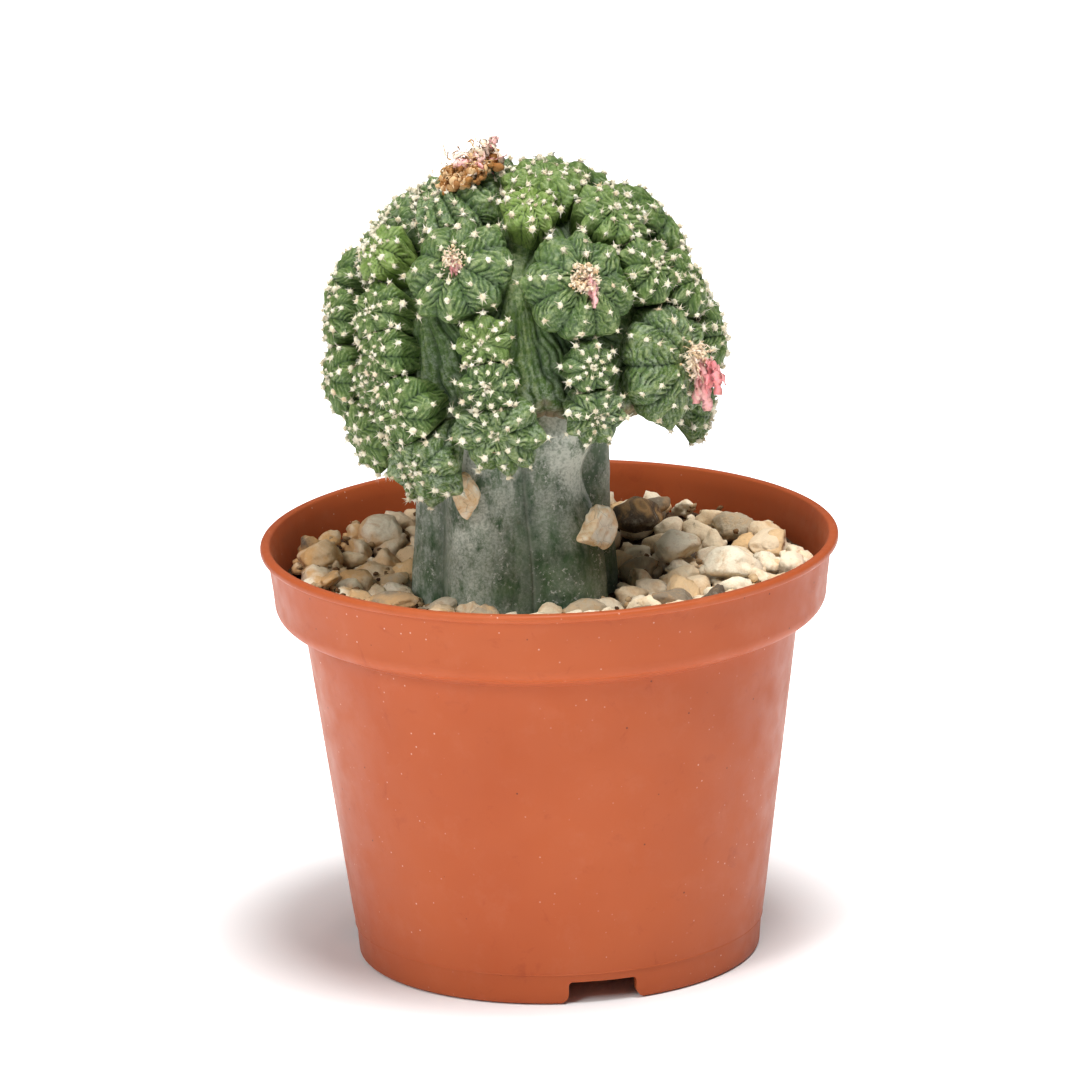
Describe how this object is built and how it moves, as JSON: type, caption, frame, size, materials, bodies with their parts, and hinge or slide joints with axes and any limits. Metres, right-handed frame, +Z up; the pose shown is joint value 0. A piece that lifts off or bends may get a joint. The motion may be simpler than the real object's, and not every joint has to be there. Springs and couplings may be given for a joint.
{
  "type": "potted round cactus",
  "caption": "Round clustering cactus with wrinkled, woolly offsets, grafted on a ribbed green stock, set in pale gravel in a moulded terracotta-coloured nursery pot.",
  "frame": {"origin": "centre of the circle on which the pot's foot ring stands", "axes": "+Z up along the pot's axis, the plant's front faces -Y, +X to the viewer's right"},
  "size_m": [0.12, 0.12, 0.1744],
  "materials": {
    "pot_plastic": "satin",
    "compost": "matte",
    "pale_stone": "matte",
    "dark_stone": "matte",
    "stock_skin": "satin",
    "cork": "matte",
    "scion_skin": "matte",
    "dried_petal": "matte"
  },
  "bodies": {
    "root": {"callus_scar_left": "cork", "callus_scar_right": "cork", "crest_head": "scion_skin", "crown_head": "scion_skin", "dried_flower_brow_left": "dried_petal", "dried_flower_brow_right": "dried_petal", "dried_flower_cheek": "dried_petal", "dried_flower_crown": "dried_petal", "graft_callus": "cork", "gravel_bed": "pale_stone", "offset_back_a": "scion_skin", "offset_back_b": "scion_skin", "offset_back_c": "scion_skin", "offset_back_d": "scion_skin", "offset_back_e": "scion_skin", "offset_back_f": "scion_skin", "offset_back_g": "scion_skin", "offset_back_h": "scion_skin", "offset_back_i": "scion_skin", "offset_back_j": "scion_skin", "offset_beside_crown": "scion_skin", "offset_brow_left": "scion_skin", "offset_brow_right": "scion_skin", "offset_cheek_right": "scion_skin", "offset_chin": "scion_skin", "offset_left_a": "scion_skin", "offset_left_b": "scion_skin", "offset_left_c": "scion_skin", "offset_left_d": "scion_skin", "offset_left_e": "scion_skin", "offset_left_f": "scion_skin", "offset_left_g": "scion_skin", "offset_left_h": "scion_skin", "offset_left_i": "scion_skin", "offset_low_left": "scion_skin", "offset_neck_left_a": "scion_skin", "offset_neck_left_b": "scion_skin", "offset_neck_right_a": "scion_skin", "offset_neck_right_b": "scion_skin", "offset_right_a": "scion_skin", "offset_right_b": "scion_skin", "offset_top_right_a": "scion_skin", "offset_top_right_b": "scion_skin", "offset_under_cheek": "scion_skin", "offset_under_crown": "scion_skin", "pot": "pot_plastic", "pot_floor": "pot_plastic", "pot_foot_back": "pot_plastic", "pot_foot_left": "pot_plastic", "pot_foot_right": "pot_plastic", "rootstock": "stock_skin", "scion_body": "scion_skin", "soil": "compost", "stone_back_dark": "dark_stone", "stone_beside_stock": "pale_stone", "stone_left_back": "pale_stone", "stone_left_wall": "pale_stone", "stone_right_pale": "pale_stone", "stone_right_pear": "pale_stone", "stone_right_wall": "pale_stone"}
  },
  "joints": []
}
